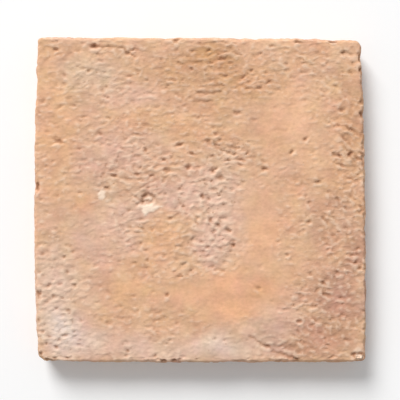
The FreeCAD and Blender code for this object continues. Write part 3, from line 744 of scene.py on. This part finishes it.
def bedDepth(x, y):
    *rubSize, deep = tile["bedRub"]
    *pockSize, rare = tile["bedPock"]
    rub = deep * np.maximum(0, clayNoise(x, y, *rubSize, face["seed"] + 330))
    pock = np.maximum(0, clayNoise(x, y, *pockSize, face["seed"] + 331) - rare)
    inset = np.minimum(boxHigh[0] - np.abs(x), boxHigh[1] - np.abs(y))
    return (rub + pock) * smoothStep(*tile["bedInset"], inset)


def tileParts(part):
    # how far each point is on the face, on the sides and on the bed
    onFace, onBed = np.clip(1 - part, 0, 1), part > 1.5
    return onFace, (1 - smoothStep(*tile["blend"]["unside"], onFace)) * ~onBed, onBed


def shadeBy(name, depth):
    start, full, most = tile["shades"][name]
    return most * smoothStep(start, full, depth)


def wearTile(cast, rim):
    # wears each part inwards in its own way; also gives the painted shade and painted highlight that go on it
    at, inward, part, run = cast
    points, _, _, length = rim
    x, y, height = at.T
    onFace, onSide, onBed = tileParts(part)
    trimmed, sideLow = sideDepth(run, height, length)
    foot = tile["footWear"] + (1 - tile["footWear"]) * smoothStep(0, tile["footHigh"], height)
    knocks = edgeKnocks(at, points) * ~onBed
    bedLow = bedDepth(x, y)
    worn = readMap(faceDepth, x, y) * smoothStep(*tile["blend"]["face"], onFace)
    worn += trimmed * onSide * foot + knocks
    worn += edgeBites(run, height, length) * smoothStep(*tile["blend"]["bite"], onFace) * ~onBed
    worn = np.where(onBed, tile["bedSkin"] + bedLow, np.maximum(worn, 0))
    lime = readMap(faceMasks["lime"], x, y) * (part == 0)
    sunk = np.where(part == 0, tileTop - height, 0)  # the hollows that the solid has itself
    at = at + inward * worn[:, None]
    at[:, 2] += lime * (tileTop - readMap(limeDepth, x, y) - at[:, 2])
    # painted shade in the knocks, the sides' and bed's low spots and the solid's own hollows; painted
    # highlight on the sides' crests
    addedShade = shadeBy("knock", knocks) + shadeBy("side", sideLow) * onSide
    addedShade += shadeBy("sunk", sunk) * (1 - lime) + shadeBy("bed", bedLow) * onBed
    return np.clip(at, boxLow, boxHigh), addedShade, shadeBy("sideHighlight", -sideLow) * onSide


def stainTile(at, part, run, length, addedShade, addedHighlight):
    # what the material reads at each point
    x, y, height = at.T
    seed = face["seed"]
    onFace, onSide, onBed = tileParts(part)
    values = {}
    for name in (*stains, "torn", "hollow", "paintedHighlight", "lime"):
        values[name] = readMap(faceMasks[name], x, y) * smoothStep(*tile["blend"]["stain"], onFace)
    # the edge's painted shade and painted highlight added to the face maps'
    values["hollow"] = np.clip(values["hollow"] + addedShade, 0, 1)
    values["paintedHighlight"] += addedHighlight
    for n, (name, long) in enumerate(tile["flashes"].items()):
        besides = clayNoise(run, height, long, tile["flashHigh"], seed + 340 + n, length) * onSide
        below = clayNoise(x, y, long * tile["flashBed"], long, seed + 350 + n) * onBed
        values[name] += tile["flashMost"] * smoothStep(*tile["flashFrom"], besides + below)
    values["trimmed"] = smoothStep(*tile["blend"]["trim"], onFace)
    return values


def squareRim(number):
    # the outer points of a grid, in the ring's order
    return np.concatenate([number[:-1, 0], number[-1, :-1], number[:0:-1, -1], number[0, :0:-1]])


def gridQuads(number):
    a, b, c, d = number[:-1, :-1], number[1:, :-1], number[1:, 1:], number[:-1, 1:]
    return np.stack([a, b, c, d], axis=-1).reshape(-1, 4)


def bandQuads(upper, lower):
    return np.stack([upper, lower, np.roll(lower, -1), np.roll(upper, -1)], axis=-1)


def sewFaces():
    # quads of face, rings and bed, then triangles from the last ring to the coarser bed
    cells, every = tile["cells"], tile["bedEvery"]
    ringCount = tile["edgeRings"] + tile["sideRings"] + tile["bedRings"]
    top = np.arange((cells + 1) ** 2).reshape(cells + 1, cells + 1)
    rows = top.size + np.arange(ringCount * 4 * cells).reshape(ringCount, -1)
    loops = [squareRim(top), *rows]
    bedSide = cells // every + 1
    bed = top.size + rows.size + np.arange(bedSide ** 2).reshape(bedSide, bedSide)
    quads = [gridQuads(top)] + [bandQuads(a, b) for a, b in zip(loops, loops[1:])]
    quads.append(gridQuads(bed)[:, ::-1])
    polygons = np.vstack(quads).tolist()
    fine, bedRim = loops[-1].tolist(), squareRim(bed).tolist()
    for k, here in enumerate(bedRim):
        after = bedRim[(k + 1) % len(bedRim)]
        for n in range(every):
            a, b = (fine[(k * every + m) % len(fine)] for m in (n, n + 1))
            polygons.append([a, here, b] if n < every // 2 else [a, after, b])
        middle = fine[(k * every + every // 2) % len(fine)]
        polygons.append([middle, here, after])
    return polygons


def buildTile(solid, rim):
    cast = castPoints(solid, rim)
    _, _, part, run = cast
    at, addedShade, addedHighlight = wearTile(cast, rim)
    polygons = sewFaces()
    mesh = bpy.data.meshes.new("tile_clay")
    mesh.from_pydata((at * mm).tolist(), [], polygons)
    mesh.polygons.foreach_set("use_smooth", np.ones(len(mesh.polygons), bool))
    for name, value in stainTile(at, part, run, rim[3], addedShade, addedHighlight).items():
        mesh.attributes.new(name, "FLOAT", "POINT").data.foreach_set("value", value.astype(np.float32))
    mesh.validate()
    print("tile mesh", len(mesh.vertices), "points,", sum(len(p) - 2 for p in polygons), "triangles")
    return placed("terracotta_tile", mesh)


# the material

clay = {
    "base": "#e0b594",
    "baseDeep": "#daab89",
    "stains": {
        "trimmed": "#d6a987",  # the sides and the bed
        "peach": "#ebbb97", "ash": "#d9b99d", "blush": "#deb6a1", "straw": "#e2b18a",
        "apricot": "#eab38c", "tan": "#ca996f", "mauve": "#c09077",
        "bloom": "#e4d3c8",  # lime salts, whitish pink
    },
    "relief": {  # colour, and how much of it there is at most: painted highlight on the crests, painted shade in the hollows and tears, then lime
        # painted highlight on the crests
        "paintedHighlight": ("#f3d5bc", 0.5),
        "hollow": ("#9c6d50", 0.8),  # painted shade down in the tears and hollows
        "lime": ("#fbe3cc", 1),
    },
    "patterns": {  # size in mm, detail, and whether it is drawn out along the strike
        "cloud": (18, 3, False), "mottle": (12, 4, False), "blotch": (9, 2, True),
        "speck": (1.6, 3, True), "grain": (1.3, 3, True),
        "grit": (0.8, 2, False),  # real sand is about 0.3 mm; drawn coarser so that it shows
        "pore": (3.4, 1, False),  # in the sides and the bed
    },
    "drawnOut": (0.7, 1, 1),
    "noiseSpan": (0.3, 0.68),  # the values that most of a pattern lies between
    "levels": {  # what the ends of that span give, as a share or a brightness
        "cloud": (0.65, 1), "mottle": (0, 1), "blotch": (0.89, 1.08), "speck": (0.93, 1.06),
    },
    "tint": 0.16,  # how far the mottling also changes the hue
    "pore": {"From Min": 0.38, "From Max": 0.27, "To Max": 0.75},  # start, full, how dark
    "sandMm": 2.6,  # spacing of the grains that stand out
    "sandDot": {"From Min": 0.3, "From Max": 0.16, "To Max": 0.6},  # the same, in shares of that
    "sand": {  # colour, and the draws that get none and all of it
        "#e9cdb4": {"From Min": 0.84, "From Max": 1},
        "#a9785a": {"From Min": 0.2, "From Max": 0},
    },
    "bump": {"grain": 0.34, "grit": 0.17},  # mm
    "roughness": 0.92,
    "specular": 0.25,
    "ior": 1.5,
}


def firedTerracotta():
    # low-fired struck clay, unglazed and matt: patches of peach, painted shade in the tears, painted
    # highlight on the crests, sand
    material = bpy.data.materials.new("terracotta_struck_and_fired")
    tree = emptyTree(material)
    where = addNode(tree, "TexCoord", {})["Object"]
    drawn = addNode(tree, "Mapping", {"Scale": clay["drawnOut"]}, {"Vector": where})[0]
    multiply, greater = {"operation": "MULTIPLY"}, {"operation": "MAXIMUM"}

    # noise patterns, then the level that each one gives
    noise = {}
    for name, (size, detail, isDrawn) in clay["patterns"].items():
        settings = {"Scale": 1 / (size * mm), "Detail": detail}
        noise[name] = addNode(tree, "TexNoise", settings, {"Vector": drawn if isDrawn else where})
    low, high = clay["noiseSpan"]
    level = {}
    for name, (least, most) in clay["levels"].items():
        settings = {"From Min": low, "From Max": high, "To Min": least, "To Max": most}
        level[name] = addNode(tree, "MapRange", settings, {"Value": noise[name]["Fac"]})[0]
    mask = {}
    for name in (*clay["stains"], *clay["relief"], "torn"):
        mask[name] = addNode(tree, "Attribute", {"attribute_name": name})["Fac"]

    # pores painted as dark spots with the hollows' painted shade, on the sides and the bed only
    pore = addNode(tree, "MapRange", clay["pore"], {"Value": noise["pore"]["Fac"]})[0]
    pore = addNode(tree, "Math", multiply, {0: pore, 1: mask["trimmed"]})[0]
    mask["hollow"] = addNode(tree, "Math", greater, {0: mask["hollow"], 1: pore})[0]

    # clay, stains, then painted highlight on crests, painted shade in hollows, and lime
    settings = {"data_type": "RGBA", 6: hexColour(clay["base"]), 7: hexColour(clay["baseDeep"])}
    colour = addNode(tree, "Mix", settings, {0: level["mottle"]})[2]
    for name, code in clay["stains"].items():
        share = addNode(tree, "Math", multiply, {0: mask[name], 1: level["cloud"]})[0]
        settings = {"data_type": "RGBA", 7: hexColour(code)}
        colour = addNode(tree, "Mix", settings, {0: share, 6: colour})[2]
    settings = {"data_type": "RGBA", "blend_type": "SOFT_LIGHT", 0: clay["tint"]}
    colour = addNode(tree, "Mix", settings, {6: colour, 7: noise["mottle"]["Color"]})[2]
    shade = addNode(tree, "Math", multiply, {0: level["speck"], 1: level["blotch"]})[0]
    colour = addNode(tree, "HueSaturation", {}, {"Color": colour, "Value": shade})[0]
    coats = []
    for name, (code, most) in clay["relief"].items():
        coats.append((code, addNode(tree, "Math", {**multiply, 1: most}, {0: mask[name]})[0]))

    # grains of pale and dark sand; the rougher the clay, the more they and its grit stand out
    rough = addNode(tree, "Math", greater, {0: mask["torn"], 1: mask["trimmed"]})[0]
    settings = {"Scale": 1 / (clay["sandMm"] * mm)}
    sand = addNode(tree, "TexVoronoi", settings, {"Vector": where})
    dot = addNode(tree, "MapRange", clay["sandDot"], {"Value": sand["Distance"]})[0]
    draw = addNode(tree, "SeparateColor", {}, {"Color": sand["Color"]})[0]
    for code, settings in clay["sand"].items():
        chosen = addNode(tree, "MapRange", settings, {"Value": draw})[0]
        share = addNode(tree, "Math", multiply, {0: dot, 1: chosen})[0]
        coats.append((code, addNode(tree, "Math", multiply, {0: share, 1: rough})[0]))
    for code, share in coats:
        settings = {"data_type": "RGBA", 7: hexColour(code)}
        colour = addNode(tree, "Mix", settings, {0: share, 6: colour})[2]

    # grain and grit
    normal = {}
    for name, height in clay["bump"].items():
        links = {"Height": noise[name]["Fac"], "Strength": rough, **normal}
        normal = {"Normal": addNode(tree, "Bump", {"Distance": height * mm}, links)[0]}
    settings = {"Roughness": clay["roughness"], "Specular IOR Level": clay["specular"], "IOR": clay["ior"]}
    shader = addNode(tree, "BsdfPrincipled", settings, {"Base Color": colour, **normal})[0]
    addNode(tree, "OutputMaterial", {}, {"Surface": shader})
    return material


# the studio

studio = {
    "floorWide": 8,  # m
    "floorUnder": 2.2,  # mm that the floor reaches in under the tile
    "floorDown": 0.05,  # mm that it lies below the bed
    "paper": "#f6f6f6",
    "paperLift": 0.05,  # light added where it is looked at, so that it shows as white
    "keyFrom": (-0.4, 0.85, 0.74),  # behind the tile, a little to the left
    "keyAway": 6,  # m
    "keyWide": 2.75,  # m
    "keyLevel": 0.64,  # light on a level surface; with the sky's it comes to about 1
    "sky": "#ffffff",
    "skyLevel": 0.4,
    "lens": 85,  # mm
    "framePart": 335 / 400,  # share of the picture that the tile's width takes
}


def seenDirectly(tree):
    # 1 where the background is looked at, also by way of a reflection or glass, 0 where it gives light
    rays = addNode(tree, "LightPath", {})
    seen = rays["Is Camera Ray"]
    for ray in ("Is Glossy Ray", "Is Transmission Ray"):
        seen = addNode(tree, "Math", {"operation": "MAXIMUM"}, {0: seen, 1: rays[ray]})[0]
    return seen


def whitePaper():
    # matt white paper: shows as white and still takes the soft shadow; clear from underneath
    material = bpy.data.materials.new("white_paper_floor")
    tree = emptyTree(material)
    paper = addNode(tree, "BsdfDiffuse", {"Color": hexColour(studio["paper"])})[0]
    settings = {"operation": "MULTIPLY", 1: studio["paperLift"]}
    lift = addNode(tree, "Math", settings, {0: seenDirectly(tree)})[0]
    glow = addNode(tree, "Emission", {}, {"Strength": lift})[0]
    white = addNode(tree, "AddShader", {}, {0: paper, 1: glow})[0]
    clear = addNode(tree, "BsdfTransparent", {})[0]
    back = addNode(tree, "NewGeometry", {})["Backfacing"]
    sheet = addNode(tree, "MixShader", {}, {0: back, 1: white, 2: clear})[0]
    addNode(tree, "OutputMaterial", {}, {"Surface": sheet})
    return material


def makeFloor(rim):
    # a wide floor with an opening under the tile, which shows only from below and lights the bed
    points, out, _, _ = rim
    inner = (points - out * studio["floorUnder"]) * mm
    outer = inner / np.abs(inner).max(axis=1)[:, None] * studio["floorWide"] / 2
    corners = np.column_stack([np.vstack([inner, outer]), np.zeros(2 * len(inner))])
    number = np.arange(len(inner))
    mesh = bpy.data.meshes.new("floor")
    mesh.from_pydata(corners.tolist(), [], bandQuads(number, number + len(inner)).tolist())
    mesh.materials.append(whitePaper())
    floor = placed("floor", mesh)
    floor.location.z = -studio["floorDown"] * mm


def makeLight():
    way = Vector(studio["keyFrom"]).normalized()
    lamp = bpy.data.lights.new("key", "AREA")
    lamp.size = studio["keyWide"]
    lamp.energy = studio["keyLevel"] * math.pi ** 2 * studio["keyAway"] ** 2 / way.z  # W for that level
    key = placed("key", lamp)
    key.location = way * studio["keyAway"]
    key.rotation_euler = way.to_track_quat("Z", "Y").to_euler()

    scene.world = bpy.data.worlds.new("soft_room")
    tree = emptyTree(scene.world)
    settings = {"To Min": studio["skyLevel"], "To Max": 1}
    level = addNode(tree, "MapRange", settings, {"Value": seenDirectly(tree)})[0]
    sky = addNode(tree, "Background", {"Color": hexColour(studio["sky"])}, {"Strength": level})[0]
    addNode(tree, "OutputWorld", {}, {"Surface": sky})


def makeCamera():
    # straight above the tile, as far away as its lens needs
    lens = bpy.data.cameras.new("camera")
    lens.lens = studio["lens"]
    across = (boxHigh[0] - boxLow[0]) * mm / studio["framePart"]
    middle = (boxLow + boxHigh) / 2 * mm
    scene.camera = placed("camera", lens)
    scene.camera.location = (middle[0], middle[1], tileTop * mm + across * lens.lens / lens.sensor_width)
    scene.view_settings.view_transform = "Standard"


solid = readSolid()
rim = outline(solid, tileTop / 2)
piece = buildTile(solid, rim)
piece.data.materials.append(firedTerracotta())
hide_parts(tile["node"])
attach(piece, "root")
print("tile dressed in", piece.data.materials[0].name)
makeFloor(rim)
makeLight()
makeCamera()
print("studio ready")
